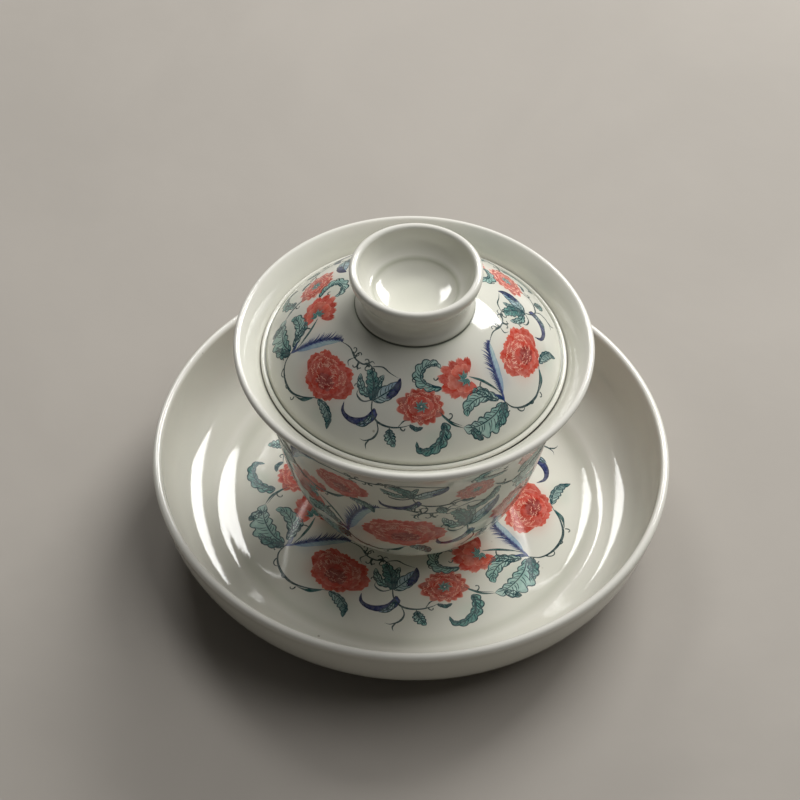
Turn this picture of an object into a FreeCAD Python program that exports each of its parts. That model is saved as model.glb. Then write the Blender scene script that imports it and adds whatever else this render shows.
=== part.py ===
import FreeCAD, Part
import os

# Gaiwan: a lidded tea bowl on a deep saucer, three turned and fired porcelain pieces.
#
# The origin is at the middle of the saucer's foot ring, on the table, with +Z up. All lengths are in
# millimetres. Every piece is a solid of revolution about Z, so each is given as one closed outline of
# (radius, height) points, walked from the axis under the piece, round the outside and back over the top.

# Saucer
SAUCER_RIM_R = 73.0          # widest line of the saucer, 146 mm across
SAUCER_RIM_Z = 26.3          # height of that line
SAUCER_RIM_ROUND = 1.25      # radius of the rounded rim
SAUCER_FOOT_R = 53.8         # outside of the foot ring
SAUCER_FOOT_WIDTH = 4.0
SAUCER_FOOT_H = 2.9          # where the wall leaves the foot ring
SAUCER_RECESS_Z = 1.7        # underside inside the foot ring
WELL_Z = 5.0                 # flat floor that the bowl stands on
WELL_R = 47.5                # edge of that floor, where it begins to rise
WELL_SHOULDER = (56.2, 7.1)  # top of the gentle rise, a narrow ledge where the wall begins

# Bowl, heights above the well floor
BOWL_RIM_R = 48.5            # 97 mm across the mouth
BOWL_RIM_Z = 65.5            # centre of the rounded rim
BOWL_RIM_ROUND = 1.1
BOWL_FOOT_R = 21.4
BOWL_FOOT_WIDTH = 3.2
BOWL_FOOT_H = 3.9
BOWL_RECESS_Z = 2.4          # underside inside the foot ring
BOWL_BELLY = (35.75, 25.5)   # where the round bottom passes into the wall
BOWL_INSIDE_BELLY = (33.5, 26.0)
BOWL_INSIDE_NECK = (37.7, 45.5)
BOWL_FLOOR_Z = 5.8           # inside floor

# Lid, heights above the well floor
LID_EDGE_R = 41.3
LID_EDGE_Z = 61.05           # centre of the rounded edge
LID_EDGE_ROUND = 0.7
LID_DOME_R = 48.2            # sphere that the dome is cut from
LID_DOME_CENTRE_Z = 34.8
LID_WALL = 2.6
LID_CREASE_R = 40.0          # fine crease between dome and edge band
LID_CREASE_DEPTH = 0.2
KNOB_BASE_R = 15.9
KNOB_WAIST_R = 14.5
KNOB_RIM_R = 17.5
KNOB_RIM_Z = 92.35           # centre of the knob's rounded rim
KNOB_RIM_ROUND = 1.15
KNOB_LEDGE_R = 12.2          # small step half way down inside the knob
KNOB_LEDGE_Z = 86.7
KNOB_FLOOR_Z = 84.2

EDGE_ROUND = 0.5             # rounding of the foot rings
HALF_ROOT_2 = 0.5 ** 0.5


def at(spot, lift=0.0):
    """The point of an outline, in the plane of X and Z."""
    return FreeCAD.Vector(spot[0], 0, spot[1] + lift)


def turned(start, moves, lift=0.0):
    """Solid turned about Z from an outline that begins at start.

    A move of one point is a straight line, of two an arc through the first to the second, and of three
    a smooth curve that leaves towards the first, arrives from the second and ends at the third.
    """
    edges = []
    here = start
    for move in moves:
        points = [at(spot, lift) for spot in (here,) + move]
        if len(move) == 1:
            edges.append(Part.LineSegment(*points).toShape())
        elif len(move) == 2:
            edges.append(Part.Arc(*points).toShape())
        else:
            bend = Part.BezierCurve()
            bend.setPoles(points)
            edges.append(bend.toShape())
        here = move[-1]
    edges.append(Part.LineSegment(at(here, lift), at(start, lift)).toShape())
    face = Part.Face(Part.Wire(edges))
    return face.revolve(FreeCAD.Vector(0, 0, 0), FreeCAD.Vector(0, 0, 1), 360)


def on_sphere(radius, r):
    """Height of the dome's sphere, or of one inside it, at distance r from the axis."""
    return LID_DOME_CENTRE_Z + (radius ** 2 - r ** 2) ** 0.5


def foot_ring(outer, width, recess, top, flare):
    """Moves along the underside: the recess, the foot ring's inner side, its flat and its outer side."""
    inner = outer - width
    corner = EDGE_ROUND * (1 - HALF_ROOT_2)
    return [
        ((inner - 1.2, recess),),
        ((inner - 0.3, recess), (inner, recess - 0.4), (inner, EDGE_ROUND)),
        ((inner + corner, corner), (inner + EDGE_ROUND, 0)),
        ((outer - EDGE_ROUND, 0),),
        ((outer - corner, corner), (outer, EDGE_ROUND)),
        ((outer, top - 1.0),),
        ((outer, top - 0.3), (outer + 0.2, top), (outer + flare, top + 0.15)),
    ]


def saucer():
    """Deep saucer: foot ring, curved wall, rounded rim, and a flat well with a gently rising edge."""
    mid = SAUCER_RIM_R - SAUCER_RIM_ROUND
    moves = foot_ring(SAUCER_FOOT_R, SAUCER_FOOT_WIDTH, SAUCER_RECESS_Z, SAUCER_FOOT_H, 1.2)
    moves += [
        ((65.6, 4.6), (70.9, 11.0), (72.6, 24.0)),
        ((72.8, 25.0), (SAUCER_RIM_R, 25.6), (SAUCER_RIM_R, SAUCER_RIM_Z)),
        ((mid, SAUCER_RIM_Z + SAUCER_RIM_ROUND), (mid - SAUCER_RIM_ROUND, SAUCER_RIM_Z)),
        ((69.5, 13.4), (66.4, 7.3), WELL_SHOULDER),
        ((54.0, 7.0), (52.4, WELL_Z), (WELL_R, WELL_Z)),
        ((0, WELL_Z),),
    ]
    return turned((0, SAUCER_RECESS_Z), moves)


def bowl():
    """Bowl: foot ring, round belly, slightly tapering wall and a flared mouth with a rounded rim."""
    mid = BOWL_RIM_R - BOWL_RIM_ROUND
    reach = BOWL_RIM_ROUND * HALF_ROOT_2
    moves = foot_ring(BOWL_FOOT_R, BOWL_FOOT_WIDTH, BOWL_RECESS_Z, BOWL_FOOT_H, 0.9)
    moves += [
        ((28.2, 5.6), (32.4, 14.3), BOWL_BELLY),
        ((39.0, 36.6), (39.7, 58.8), (mid + reach, BOWL_RIM_Z - reach)),
        ((mid + reach, BOWL_RIM_Z + reach), (mid - reach, BOWL_RIM_Z + reach)),
        ((42.4, 63.4), (38.2, 57.4), BOWL_INSIDE_NECK),
        ((37.1, 38.5), (35.6, 32.6), BOWL_INSIDE_BELLY),
        ((30.2, 15.6), (21.0, BOWL_FLOOR_Z), (9.0, BOWL_FLOOR_Z)),
        ((0, BOWL_FLOOR_Z),),
    ]
    return turned((0, BOWL_RECESS_Z), moves, lift=WELL_Z)


def lid():
    """Lid: shallow dome with a plain edge band, and a knob like a small cup turned upwards."""
    inside_r = LID_DOME_R - LID_WALL
    underside_z = LID_EDGE_Z - LID_EDGE_ROUND
    lip_r = (inside_r ** 2 - (underside_z - LID_DOME_CENTRE_Z) ** 2) ** 0.5
    edge_mid = LID_EDGE_R - LID_EDGE_ROUND
    groove = LID_CREASE_DEPTH
    crease_top = (LID_CREASE_R - groove, on_sphere(LID_DOME_R, LID_CREASE_R - groove))
    crease_z = on_sphere(LID_DOME_R, LID_CREASE_R) - groove
    dome_mid_r = (LID_CREASE_R + KNOB_BASE_R) / 2
    base_z = on_sphere(LID_DOME_R, KNOB_BASE_R)
    knob_mid = KNOB_RIM_R - KNOB_RIM_ROUND
    moves = [
        ((lip_r / 2, on_sphere(inside_r, lip_r / 2)), (lip_r, underside_z)),
        ((edge_mid, underside_z),),
        ((LID_EDGE_R, LID_EDGE_Z), (edge_mid, LID_EDGE_Z + LID_EDGE_ROUND)),
        ((LID_CREASE_R + groove, crease_z + 0.05),),
        ((LID_CREASE_R - 0.05, crease_z), crease_top),
        ((dome_mid_r, on_sphere(LID_DOME_R, dome_mid_r)), (KNOB_BASE_R, base_z)),
        ((KNOB_BASE_R - 0.15, base_z + 0.1), (KNOB_BASE_R, base_z + 0.5)),
        ((15.6, base_z + 1.5), (KNOB_WAIST_R, base_z + 1.7), (KNOB_WAIST_R, base_z + 3.4)),
        ((KNOB_WAIST_R, base_z + 7.6), (KNOB_RIM_R, KNOB_RIM_Z - 3.6), (KNOB_RIM_R, KNOB_RIM_Z)),
        ((knob_mid, KNOB_RIM_Z + KNOB_RIM_ROUND), (knob_mid - KNOB_RIM_ROUND, KNOB_RIM_Z)),
        ((14.9, 90.2), (13.9, 88.2), (KNOB_LEDGE_R, KNOB_LEDGE_Z)),
        ((KNOB_LEDGE_R - 0.6, KNOB_LEDGE_Z - 0.3), (11.2, 86.2), (11.0, 85.7)),
        ((10.0, 84.6), (7.0, KNOB_FLOOR_Z), (4.0, KNOB_FLOOR_Z)),
        ((0, KNOB_FLOOR_Z),),
    ]
    return turned((0, LID_DOME_CENTRE_Z + inside_r), moves, lift=WELL_Z)


def main():
    """Write one STEP file for each piece."""
    os.makedirs("parts", exist_ok=True)
    for name, make in (("saucer", saucer), ("bowl", bowl), ("lid", lid)):
        shape = make()
        shape.exportStep("parts/" + name + ".step")
        print(name, "valid", shape.isValid(), "volume_cm3", round(shape.Volume / 1000, 2))


main()
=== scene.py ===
import logging
import math
from dataclasses import dataclass, field
from enum import Enum

import bpy
import numpy as np
from bpy import types
from mathutils import Matrix


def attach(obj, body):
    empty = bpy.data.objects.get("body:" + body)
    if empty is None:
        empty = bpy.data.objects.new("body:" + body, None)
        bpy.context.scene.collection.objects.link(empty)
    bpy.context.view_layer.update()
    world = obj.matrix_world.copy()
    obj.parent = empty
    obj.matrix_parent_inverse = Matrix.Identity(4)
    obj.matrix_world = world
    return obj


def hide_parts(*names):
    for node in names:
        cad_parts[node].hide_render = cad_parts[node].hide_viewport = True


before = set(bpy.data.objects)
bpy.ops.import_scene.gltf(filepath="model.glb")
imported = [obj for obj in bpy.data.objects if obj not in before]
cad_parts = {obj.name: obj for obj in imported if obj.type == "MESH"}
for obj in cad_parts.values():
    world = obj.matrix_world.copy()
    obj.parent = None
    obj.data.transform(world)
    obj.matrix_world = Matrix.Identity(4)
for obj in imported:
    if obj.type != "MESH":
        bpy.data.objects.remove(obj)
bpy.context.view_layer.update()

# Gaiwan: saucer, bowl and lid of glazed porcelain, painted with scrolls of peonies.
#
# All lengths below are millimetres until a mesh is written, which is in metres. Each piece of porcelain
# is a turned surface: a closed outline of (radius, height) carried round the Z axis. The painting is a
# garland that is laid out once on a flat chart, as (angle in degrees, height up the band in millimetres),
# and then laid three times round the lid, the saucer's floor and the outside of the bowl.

Array = np.ndarray
Socket = types.NodeSocket
LOG = logging.getLogger("gaiwan")
MM = 0.001
REPEATS = 3


def tone(red: float, green: float, blue: float) -> Array:
    """Turn a colour given in 0-255 screen values into the linear values that shaders use.

    Args:
        red, green, blue: screen values.

    Returns:
        Array of three linear values.
    """
    c = np.array([red, green, blue]) / 255.0
    return np.where(c <= 0.04045, c / 12.92, ((c + 0.055) / 1.055) ** 2.4)


class Enamel(Enum):
    """The four enamels of the painting, each with the name of its material."""

    CORAL = "coral_enamel"
    GREEN = "green_enamel"
    INDIGO = "indigo_enamel"
    OUTLINE = "outline_enamel"


GLAZE = tone(218, 217, 206)
CORAL_DEEP = tone(152, 30, 24)
CORAL = tone(200, 58, 40)
CORAL_LIGHT = tone(218, 88, 64)
CORAL_SOFT = tone(226, 120, 94)
CORAL_PALE = tone(240, 182, 160)
GREEN_PALE = tone(190, 214, 204)
GREEN = tone(128, 182, 170)
GREEN_DEEP = tone(24, 98, 98)
TEAL = tone(18, 66, 74)
INDIGO = tone(40, 62, 130)
INDIGO_DEEP = tone(20, 30, 76)
INDIGO_PALE = tone(128, 156, 186)
INK = tone(44, 66, 66)

LINE_STEP, ARC_STEP, CURVE_STEP = 1.1, 1.0, 0.9   # about how long one stretch of an outline is
LINE_LEAST, CURVE_LEAST = 2, 8                    # fewest stretches of a line and of a curve
ARC_LEAST = 9    # odd, so that no point falls on the very crest of a rim, where it would top the CAD's facets
ROOT_HALF = math.sqrt(0.5)


# ---- Shapes ----


@dataclass
class Outline:
    """Closed outline of a turned piece, walked from the axis underneath, round the outside, to the axis.

    A move of one point is a straight line, of two an arc through the first to the second, and of three
    a Bezier curve with the first two as its pulls.
    """

    start: tuple
    moves: list
    lift: float = 0.0

    def points(self, fineness: float = 1.0) -> Array:
        """Sample the outline: lines evenly, arcs by angle and Bezier curves by their parameter.

        Args:
            fineness: multiplies the number of samples.

        Returns:
            Array (n, 2) of radius and height.
        """
        here = np.array(self.start, float)
        parts = [here[None, :]]
        for move in self.moves:
            spots = [here] + [np.array(p, float) for p in move]
            span = np.linalg.norm(spots[-1] - spots[0])
            if len(move) == 1:
                t = np.linspace(0, 1, max(LINE_LEAST, int(span / LINE_STEP * fineness)) + 1)[1:, None]
                made = spots[0] * (1 - t) + spots[1] * t
            elif len(move) == 2:
                made = self._arc(spots, max(ARC_LEAST, int(span / ARC_STEP * fineness)))
            else:
                t = np.linspace(0, 1, max(CURVE_LEAST, int(span / CURVE_STEP * fineness)) + 1)[1:, None]
                made = (spots[0] * (1 - t) ** 3 + 3 * spots[1] * (1 - t) ** 2 * t
                        + 3 * spots[2] * (1 - t) * t ** 2 + spots[3] * t ** 3)
            parts.append(made)
            here = spots[-1]
        return np.vstack(parts) + [0.0, self.lift]

    @staticmethod
    def _arc(spots: list, count: int) -> Array:
        """Points of the circle through three spots, from the first (left out) to the last.

        The centre solves two linear equations, of equal distance from the three spots. The angle then
        runs evenly from the first to the last, by way of the middle one.

        Args:
            spots: first, middle and last spot.
            count: number of points.

        Returns:
            Array (count, 2).
        """
        a, b, c = spots
        rows = 2 * np.array([b - a, c - a])
        centre = np.linalg.solve(rows, [b @ b - a @ a, c @ c - a @ a])
        radius = np.linalg.norm(a - centre)
        turn = [math.atan2(*(p - centre)[::-1]) for p in (a, b, c)]
        total = (turn[2] - turn[0]) % (2 * math.pi)
        if (turn[1] - turn[0]) % (2 * math.pi) > total:
            total -= 2 * math.pi
        angle = turn[0] + total * np.linspace(0, 1, count + 1)[1:]
        return centre + radius * np.stack([np.cos(angle), np.sin(angle)], 1)


def new_mesh(name: str, verts: Array, quads: Array, tris: Array) -> types.Mesh:
    """Write a mesh of quads and triangles from whole arrays.

    Args:
        name: name of the mesh.
        verts: array (n, 3) in millimetres.
        quads: array (q, 4) of vertex numbers.
        tris: array (t, 3) of vertex numbers.

    Returns:
        The mesh, in metres.
    """
    mesh = bpy.data.meshes.new(name)
    corners = np.concatenate([quads.ravel(), tris.ravel()]).astype(np.int32)
    starts = np.concatenate([np.arange(len(quads)) * 4, len(quads) * 4 + np.arange(len(tris)) * 3])
    mesh.vertices.add(len(verts))
    mesh.vertices.foreach_set("co", (verts * MM).astype(np.float32).ravel())
    mesh.loops.add(len(corners))
    mesh.loops.foreach_set("vertex_index", corners)
    mesh.polygons.add(len(starts))
    mesh.polygons.foreach_set("loop_start", starts.astype(np.int32))
    mesh.update(calc_edges=True)
    return mesh


def add_colour(mesh: types.Mesh, name: str, values: Array) -> None:
    """Store one colour for each vertex.

    Args:
        mesh: mesh to write to.
        name: attribute's name.
        values: array (n, 3) or (n, 4).
    """
    if values.shape[1] == 3:
        values = np.hstack([values, np.ones((len(values), 1))])
    attribute = mesh.color_attributes.new(name, "FLOAT_COLOR", "POINT")
    attribute.data.foreach_set("color", values.astype(np.float32).ravel())


def add_object(name: str, data: types.ID) -> types.Object:
    """Put a mesh, a lamp or a camera into the scene, at the origin."""
    made = bpy.data.objects.new(name, data)
    bpy.context.scene.collection.objects.link(made)
    return made


def new_piece(mesh: types.Mesh, body: str, material: types.Material) -> types.Object:
    """Put a mesh into the scene as a piece that rides on a body.

    Args:
        mesh: the piece's mesh, which gives its name too.
        body: body that it moves with.
        material: its finish.

    Returns:
        The new object.
    """
    piece = add_object(mesh.name, mesh)
    mesh.materials.append(material)
    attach(piece, body)
    return piece


def spline(points: list, count: int) -> Array:
    """Smooth curve through points, each stretch a cubic whose slopes come from its neighbours.

    Args:
        points: the points that it passes through.
        count: number of samples.

    Returns:
        Array (count, dimensions).
    """
    p = np.array(points, float)
    p = np.vstack([2 * p[0] - p[1], p, 2 * p[-1] - p[-2]])
    where = np.linspace(0, len(p) - 3 - 1e-6, count)
    i = where.astype(int)
    t = (where - i)[:, None]
    a, b, c, d = p[i], p[i + 1], p[i + 2], p[i + 3]
    return 0.5 * (2 * b + (c - a) * t + (2 * a - 5 * b + 4 * c - d) * t ** 2
                  + (3 * b - a - 3 * c + d) * t ** 3)


def fade(colours: tuple, share: Array) -> Array:
    """Colours that pass from the first to the second by the share, an array (n,), for films of n steps."""
    share = share[:, None, None]
    return colours[0] * (1 - share) + colours[1] * share


def staying(spot: tuple, count: int) -> Array:
    """One chart spot repeated, for a film that is laid out in millimetres from it."""
    return np.tile(np.array(spot, float), (count, 1))


# ---- Finishes ----


class Nodes:
    """Short hand for placing and joining the nodes of one tree."""

    def __init__(self, tree: types.NodeTree) -> None:
        """Keep the tree."""
        self.tree = tree

    def add(self, kind: str, inputs: dict | None = None, **settings: object) -> types.Node:
        """Place a node, set it and join or fill its inputs.

        Args:
            kind: node type.
            inputs: socket name or number to a value, or to another node's output.
            settings: the node's own settings.

        Returns:
            The node.
        """
        node = self.tree.nodes.new(kind)
        for key, value in settings.items():
            setattr(node, key, value)
        for key, value in (inputs or {}).items():
            if isinstance(value, Socket):
                self.tree.links.new(value, node.inputs[key])
            else:
                node.inputs[key].default_value = value
        return node

    def group(self, tree: types.NodeTree, **values: float) -> object:
        """Place a group with its own values and give its outputs."""
        node = self.add("ShaderNodeGroup", node_tree=tree)
        for key, value in values.items():
            node.inputs[key].default_value = value
        return node.outputs

    def mix(self, factor: object, a: object, b: object, blend: str = "MIX") -> Socket:
        """Blend two colours.

        Args:
            factor: how much of b.
            a, b: colours or outputs.
            blend: way of blending.

        Returns:
            The colour output.
        """
        pair = {6: a, 7: b, 0: factor}
        pair = {k: (*v, 1.0) if isinstance(v, Array) else v for k, v in pair.items()}
        return self.add("ShaderNodeMix", pair, data_type="RGBA", blend_type=blend).outputs[2]

    def math(self, operation: str, a: object, b: object = 0.0) -> Socket:
        """One sum of two values."""
        return self.add("ShaderNodeMath", {0: a, 1: b}, operation=operation).outputs[0]

    def ramp(self, value: object, low: float, high: float, out: tuple = (0.0, 1.0)) -> Socket:
        """Smooth step of a value from out[0] at low to out[1] at high.

        Args:
            value: output to read.
            low, high: where the step begins and ends.
            out: results there.

        Returns:
            The value output.
        """
        fills = {0: value, 1: low, 2: high, 3: out[0], 4: out[1]}
        return self.add("ShaderNodeMapRange", fills, interpolation_type="SMOOTHSTEP").outputs[0]

    def attribute(self, name: str) -> object:
        """The outputs of one of the mesh's own attributes."""
        return self.add("ShaderNodeAttribute", attribute_name=name).outputs

    def split(self, colour: Socket) -> object:
        """The red, green and blue of a colour."""
        return self.add("ShaderNodeSeparateColor", {0: colour}).outputs

    def here(self) -> Socket:
        """The place on the object."""
        return self.add("ShaderNodeTexCoord").outputs["Object"]


def kiln_group() -> types.NodeTree:
    """Node group for what the kiln leaves on any glassy surface: clouds in the tone and a fine ripple.

    Returns:
        The group, with inputs Clouds, Ripple and Grain, and outputs Tone, Height and Wear.
    """
    group = bpy.data.node_groups.new("kiln_surface", "ShaderNodeTree")
    face = group.interface
    for name, default in (("Clouds", 45.0), ("Ripple", 420.0), ("Grain", 2600.0)):
        socket = face.new_socket(name, in_out="INPUT", socket_type="NodeSocketFloat")
        socket.default_value = default
    for name in ("Tone", "Height", "Wear"):
        face.new_socket(name, in_out="OUTPUT", socket_type="NodeSocketFloat")
    n = Nodes(group)
    inside = n.add("NodeGroupInput").outputs
    place = n.here()
    clouds, ripple, grain = (
        n.add("ShaderNodeTexNoise", {"Vector": place, "Scale": inside[name], **more}).outputs[0]
        for name, more in (("Clouds", {"Detail": 4.0, "Roughness": 0.6, "Distortion": 0.4}),
                           ("Ripple", {"Detail": 2.0, "Roughness": 0.45}),
                           ("Grain", {"Detail": 2.0})))
    even = n.ramp(clouds, 0.28, 0.72)
    height = n.math("ADD", n.math("MULTIPLY", ripple, 0.8), n.math("MULTIPLY", grain, 0.05))
    wear = n.math("MULTIPLY", n.ramp(grain, 0.35, 0.75), n.ramp(clouds, 0.3, 0.8))
    n.add("NodeGroupOutput", {"Tone": even, "Height": height, "Wear": wear})
    return group


@dataclass(frozen=True)
class Finish:
    """One material of the scene.

    Attributes:
        name: the material's name.
        roughness: how matt it is.
        bump, depth: strength of its ripple, and the ripple's height in metres.
        ior: how strongly its surface bends light.
        clouds, ripples, grain: how fine its kiln marks are.
    """

    name: str
    roughness: float
    bump: float
    depth: float = 0.0006
    ior: float = 1.52
    clouds: float = 38.0
    ripples: float = 300.0
    grain: float = 2400.0

    def layers(self, n: Nodes, marks: object) -> tuple:
        """Its colour, roughness and height, worked out with nodes from the kiln marks."""
        raise NotImplementedError

    def make(self, kiln: types.NodeTree) -> types.Material:
        """Build the material.

        Args:
            kiln: the group of kiln marks.

        Returns:
            The material.
        """
        material = bpy.data.materials.new(self.name)
        material.use_nodes = True
        material.node_tree.nodes.clear()
        n = Nodes(material.node_tree)
        marks = n.group(kiln, Clouds=self.clouds, Ripple=self.ripples, Grain=self.grain)
        body, rough, height = self.layers(n, marks)
        bump = n.add("ShaderNodeBump", {"Strength": self.bump, "Distance": self.depth, "Height": height})
        shader = n.add("ShaderNodeBsdfPrincipled", {"Base Color": body, "Roughness": rough,
                                                    "Normal": bump.outputs[0], "IOR": self.ior})
        n.add("ShaderNodeOutputMaterial", {"Surface": shader.outputs[0]})
        return material


@dataclass(frozen=True)
class PorcelainFinish(Finish):
    """Pale greenish glaze over white clay, bare under the foot rings.

    The mesh's own attribute of glaze and shade says where the glaze pools (red), where it thins over an edge
    (green) and where the clay is bare (blue). Where the pooling is strongest, in the lid's crease and round
    the knob's foot, the red also draws a dark line of painted shade. "blush" holds the soft colour round
    the painted flowers.
    """

    name: str = "celadon_white_glaze"
    roughness: float = 0.075
    bump: float = 0.045
    pool: tuple = (186, 188, 172)
    # dark colour of the painted shade line in the lid's crease and round the knob's foot
    deep: tuple = (104, 108, 98)
    thin: tuple = (234, 232, 224)
    clay: tuple = (214, 202, 182)
    speck: tuple = (128, 118, 98)
    speck_scale: float = 210.0
    specks_missing: float = 0.94   # share of the cells that have no speck

    def layers(self, n: Nodes, marks: object) -> tuple:
        """Glaze tones, with a dark line of painted shade where the glaze pools most, then rare specks, the
        blush and the bare clay.

        Args:
            n: the material's nodes.
            marks: outputs of the kiln marks.

        Returns:
            Colour, roughness and height.
        """
        pooling_and_shade, thinned, bare = list(n.split(n.attribute("glaze_and_shade")["Color"]))[:3]
        body = n.mix(marks["Tone"], GLAZE * 0.975, GLAZE * [1.01, 1.01, 1.0])
        body = n.mix(pooling_and_shade, body, tone(*self.pool))
        # painted shade: where the glaze pools most, in the lid's crease and at the knob's foot, it turns dark
        body = n.mix(n.ramp(pooling_and_shade, 0.72, 1.0), body, tone(*self.deep))
        body = n.mix(thinned, body, tone(*self.thin))
        cells = n.add("ShaderNodeTexVoronoi", {"Vector": n.here(), "Scale": self.speck_scale}).outputs
        rare = n.math("GREATER_THAN", n.split(cells["Color"])[0], self.specks_missing)
        dot = n.math("MULTIPLY", n.ramp(cells["Distance"], 0.04, 0.10, (0.55, 0.0)), rare)
        body = n.mix(dot, body, tone(*self.speck))
        blush = n.attribute("blush")
        body = n.mix(blush["Alpha"], body, blush["Color"])
        clay = n.mix(marks["Wear"], tone(*self.clay), tone(*self.clay) * 0.72)
        body = n.mix(bare, body, clay)
        rough = n.math("ADD", n.math("MULTIPLY", marks["Wear"], 0.05), self.roughness)
        rough = n.math("ADD", rough, n.math("MULTIPLY", bare, 0.62))
        worn_clay = n.math("MULTIPLY", bare, marks["Wear"])
        return body, rough, n.math("ADD", marks["Height"], n.math("MULTIPLY", worn_clay, 2.5))


@dataclass(frozen=True)
class EnamelFinish(Finish):
    """Enamel fired onto the glaze, its tone carried by the mesh's own attribute "paint"."""

    roughness: float = 0.10
    bump: float = 0.05
    clouds: float = 700.0
    grain: float = 3200.0
    uneven: float = 0.16

    def layers(self, n: Nodes, marks: object) -> tuple:
        """The painted tone, here thicker and darker, there thinner so that the glaze shows through.

        Args:
            n: the material's nodes.
            marks: outputs of the kiln marks.

        Returns:
            Colour, roughness and height.
        """
        paint = n.attribute("paint")["Color"]
        thick = n.mix(1.0, paint, np.array([1 - self.uneven] * 3), "MULTIPLY")
        body = n.mix(marks["Tone"], thick, n.mix(self.uneven, paint, GLAZE))
        rough = n.math("ADD", n.math("MULTIPLY", marks["Wear"], 0.08), self.roughness)
        return body, rough, marks["Height"]


@dataclass(frozen=True)
class FloorFinish(Finish):
    """Pale matt board under the tea set."""

    name: str = "pale_board"
    roughness: float = 0.72
    bump: float = 0.12
    depth: float = 0.0005
    ior: float = 1.5
    clouds: float = 9.0
    ripples: float = 160.0
    grain: float = 1500.0
    colour: tuple = (168, 162, 154)

    def layers(self, n: Nodes, marks: object) -> tuple:
        """One colour, slightly cloudy."""
        base = tone(*self.colour)
        return n.mix(marks["Tone"], base * 0.95, base * 1.03), self.roughness, marks["Height"]


# ---- Painting ----


@dataclass
class Band:
    """A ring-shaped stretch of a turned surface that carries the garland.

    A place on the garland's chart is (angle, height); on the surface the height runs along the outline.
    """

    line: Array          # (n, 2) outline, walked from the garland's foot to its top
    foot: float = 0.0         # where height 0 of the chart lies along the line
    scale: float = 1.0        # size of flowers and leaves
    climb: float = 1.0        # stretch of the chart's height
    turn: float = 0.0         # degrees by which the chart is turned
    over: float = 0.0         # extra thickness where it crosses another band

    def __post_init__(self) -> None:
        """Work out the length along the line and the outward normals."""
        step = np.diff(self.line, axis=0)
        self.along = np.concatenate([[0.0], np.cumsum(np.hypot(*step.T))])
        slope = np.gradient(self.line, axis=0)
        slope /= np.linalg.norm(slope, axis=1)[:, None]
        self.normal = np.stack([slope[:, 1], -slope[:, 0]], 1)

    def place(self, spots: Array) -> tuple:
        """Lay chart spots on the surface.

        The length along the line is foot + climb * height + scale * dy, the angle is the chart's angle
        plus scale * dx / radius, and the spot is raised along the normal.

        Args:
            spots: array (n, 5) of angle, height, dx, dy and rise.

        Returns:
            Places and normals, arrays (n, 3).
        """
        run = self.foot + self.climb * spots[:, 1] + self.scale * spots[:, 3]
        columns = (*self.line.T, *self.normal.T)
        r, z, nr, nz = (np.interp(run, self.along, column) for column in columns)
        angle = np.radians(spots[:, 0] + self.turn) + self.scale * spots[:, 2] / r
        cos, sin = np.cos(angle), np.sin(angle)
        normal = np.stack([nr * cos, nr * sin, nz], 1)
        rise = spots[:, 4:5] + self.over * (spots[:, 4:5] > 0)
        return np.stack([r * cos, r * sin, z], 1) + normal * rise, normal


# Steps across a film, from its right edge to its left, and across a petal
ACROSS = np.array([-1.0, -0.72, 0.72, 1.0])
ACROSS_LEAF = np.array([-1.0, -0.9, -0.6, -0.3, 0.0, 0.3, 0.6, 0.9, 1.0])
ACROSS_PETAL = np.array([-1.0, -0.9, -0.68, -0.45, -0.22, 0.0, 0.22, 0.45, 0.68, 0.9, 1.0])

# Heights over the glaze in millimetres: a film's edge sinks into it, and what is laid later lies higher
SUNK = -0.008
BLADE, RIM_LINE, VEIN, MIDRIB = 0.018, 0.030, 0.034, 0.038
UNEVEN_FILM, UNEVEN_PETAL = 0.006, 0.004   # so that no two films lie at the same height
PETAL_STEP = 0.003
GOLDEN_ANGLE = 2.39996


@dataclass
class Tray:
    """The painted shapes of one enamel, gathered as arrays."""

    spots: list = field(default_factory=list)
    tones: list = field(default_factory=list)
    quads: list = field(default_factory=list)
    tris: list = field(default_factory=list)
    count: int = 0

    def strip(self, spots: Array, tones: Array) -> None:
        """Add a closed film: a grid on top, a flat underside and two ends.

        Args:
            spots: array (n, k, 5), n steps along and k across, from right to left.
            tones: array that broadcasts to (n, k, 3).
        """
        n, k = spots.shape[:2]
        number = self.count + np.arange(n * k).reshape(n, k)
        top = np.stack([number[:-1, :-1], number[1:, :-1], number[1:, 1:], number[:-1, 1:]], -1)
        under = np.stack([number[:-1, -1], number[1:, -1], number[1:, 0], number[:-1, 0]], -1)
        fan = np.arange(1, k - 1)
        first = np.stack([np.full(k - 2, number[0, 0]), number[0, fan], number[0, fan + 1]], -1)
        last = np.stack([np.full(k - 2, number[-1, 0]), number[-1, fan + 1], number[-1, fan]], -1)
        self.quads += [top.reshape(-1, 4), under]
        self.tris += [first, last]
        self.spots.append(spots.reshape(-1, 5))
        self.tones.append(np.broadcast_to(tones, (n, k, 3)).reshape(-1, 3))
        self.count += n * k

    def mesh(self, name: str, band: Band) -> types.Mesh:
        """Lay all shapes on a band, three times round.

        Args:
            name: the mesh's name.
            band: where to.

        Returns:
            The mesh, with the glaze's own normals so that gloss runs on over glaze and enamel alike.
        """
        spots = np.vstack(self.spots)
        turned = [spots + [k * 360.0 / REPEATS, 0, 0, 0, 0] for k in range(REPEATS)]
        places, normals = band.place(np.vstack(turned))
        shift = self.count * np.arange(REPEATS)[:, None, None]
        quads = (np.vstack(self.quads) + shift).reshape(-1, 4)
        tris = (np.vstack(self.tris) + shift).reshape(-1, 3)
        mesh = new_mesh(name, places, quads, tris)
        add_colour(mesh, "paint", np.tile(np.vstack(self.tones), (REPEATS, 1)))
        mesh.polygons.foreach_set("use_smooth", np.ones(len(mesh.polygons), bool))
        mesh.normals_split_custom_set_from_vertices(normals.astype(np.float32))
        return mesh


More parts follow.
